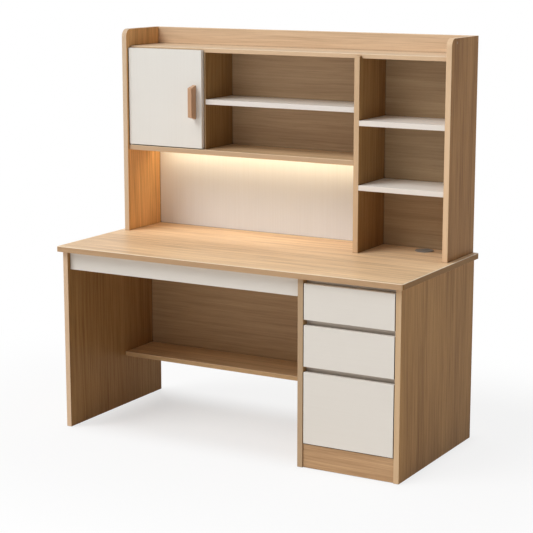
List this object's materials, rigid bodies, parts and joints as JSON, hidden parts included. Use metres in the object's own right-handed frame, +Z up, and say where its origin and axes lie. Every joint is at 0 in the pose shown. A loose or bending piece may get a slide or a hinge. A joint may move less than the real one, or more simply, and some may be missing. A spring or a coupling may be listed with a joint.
{
  "type": "student desk with hutch",
  "caption": "Panel desk with a drawer pedestal, foot shelf and a hutch with a door, open bays, shelf tower, light bar and cable grommet.",
  "frame": {"origin": "on the floor, under the middle of the desktop's plan", "axes": "+Z up, +X to the user's right towards the pedestal, -Y towards the user"},
  "size_m": [1.5, 0.69, 1.568],
  "materials": {
    "oak_laminate": "light oak wood-grain laminate on particle board, satin",
    "white_laminate": "off-white laminate on particle board, satin",
    "oak_wood": "solid oak, clear satin finish",
    "drawer_board": "pale laminated board, matt",
    "taupe_aluminium": "taupe anodised, satin",
    "silver_aluminium": "silver anodised, satin",
    "zinc_steel": "zinc plated",
    "grey_plastic": "moulded, silver grey",
    "dark_plastic": "moulded, dark",
    "light_diffuser": "frosted, translucent",
    "circuit_board": "white solder mask"
  },
  "bodies": {
    "desk": {"apron": "white_laminate", "centre_shelf": "white_laminate", "cupboard_divider": "oak_laminate", "cupboard_floor": "oak_laminate", "desktop": "oak_laminate", "floor_glides": "dark_plastic", "foot_shelf": "oak_laminate", "gallery_rail": "oak_laminate", "grommet_liner": "grey_plastic", "hinge_leaves": "zinc_steel", "hutch_left_side": "oak_laminate", "hutch_right_side": "oak_laminate", "hutch_roof": "oak_laminate", "left_leg_panel": "oak_laminate", "light_channel": "silver_aluminium", "light_diffuser": "light_diffuser", "light_strip": "circuit_board", "lower_back_panel": "white_laminate", "lower_finger_rail": "taupe_aluminium", "magnet_catch": "grey_plastic", "middle_finger_rail": "taupe_aluminium", "modesty_panel": "oak_laminate", "pedestal_back": "oak_laminate", "pedestal_floor": "oak_laminate", "pedestal_left_panel": "oak_laminate", "pedestal_right_panel": "oak_laminate", "plinth": "oak_laminate", "slide_outer_members": "zinc_steel", "tower_back_panel": "oak_laminate", "tower_divider": "oak_laminate", "tower_shelf_lower": "white_laminate", "tower_shelf_upper": "white_laminate", "upper_back_panel": "oak_laminate", "upper_finger_rail": "taupe_aluminium"},
    "door": {"door_panel": "white_laminate", "door_handle": "oak_wood", "catch_strike": "zinc_steel"},
    "grommet_cover": {"grommet_cap": "grey_plastic"},
    "upper_drawer": {"upper_drawer_front": "white_laminate", "upper_drawer_sides": "drawer_board", "upper_drawer_back": "drawer_board", "upper_drawer_base": "drawer_board", "upper_drawer_slide_inner": "zinc_steel"},
    "upper_slide_middle": {"upper_drawer_slide_middle": "zinc_steel"},
    "middle_drawer": {"middle_drawer_front": "white_laminate", "middle_drawer_sides": "drawer_board", "middle_drawer_back": "drawer_board", "middle_drawer_base": "drawer_board", "middle_drawer_slide_inner": "zinc_steel"},
    "middle_slide_middle": {"middle_drawer_slide_middle": "zinc_steel"},
    "lower_drawer": {"lower_drawer_front": "white_laminate", "lower_drawer_sides": "drawer_board", "lower_drawer_back": "drawer_board", "lower_drawer_base": "drawer_board", "lower_drawer_slide_inner": "zinc_steel"},
    "lower_slide_middle": {"lower_drawer_slide_middle": "zinc_steel"}
  },
  "joints": [
    {"name": "upper_drawer_slide", "type": "slide", "parent": "desk", "child": "upper_drawer", "axis": [0, -1, 0], "range_m": [0, 0.45]},
    {"name": "upper_slide_middle_travel", "type": "slide", "parent": "desk", "child": "upper_slide_middle", "axis": [0, -1, 0], "range_m": [0, 0.225]},
    {"name": "middle_drawer_slide", "type": "slide", "parent": "desk", "child": "middle_drawer", "axis": [0, -1, 0], "range_m": [0, 0.45]},
    {"name": "middle_slide_middle_travel", "type": "slide", "parent": "desk", "child": "middle_slide_middle", "axis": [0, -1, 0], "range_m": [0, 0.225]},
    {"name": "lower_drawer_slide", "type": "slide", "parent": "desk", "child": "lower_drawer", "axis": [0, -1, 0], "range_m": [0, 0.45]},
    {"name": "lower_slide_middle_travel", "type": "slide", "parent": "desk", "child": "lower_slide_middle", "axis": [0, -1, 0], "range_m": [0, 0.225]},
    {"name": "door_hinge", "type": "hinge", "parent": "desk", "child": "door", "pos_m": [-0.696, 0.11, 1.29], "axis": [0, 0, -1], "range_deg": [0, 95]},
    {"name": "grommet_cap_lift", "type": "slide", "parent": "desk", "child": "grommet_cover", "axis": [0, 0, 1], "range_m": [0, 0.03]}
  ],
  "couplings": [
    {"joint": "upper_slide_middle_travel", "follows": "upper_drawer_slide", "ratio": 0.5},
    {"joint": "middle_slide_middle_travel", "follows": "middle_drawer_slide", "ratio": 0.5},
    {"joint": "lower_slide_middle_travel", "follows": "lower_drawer_slide", "ratio": 0.5}
  ]
}
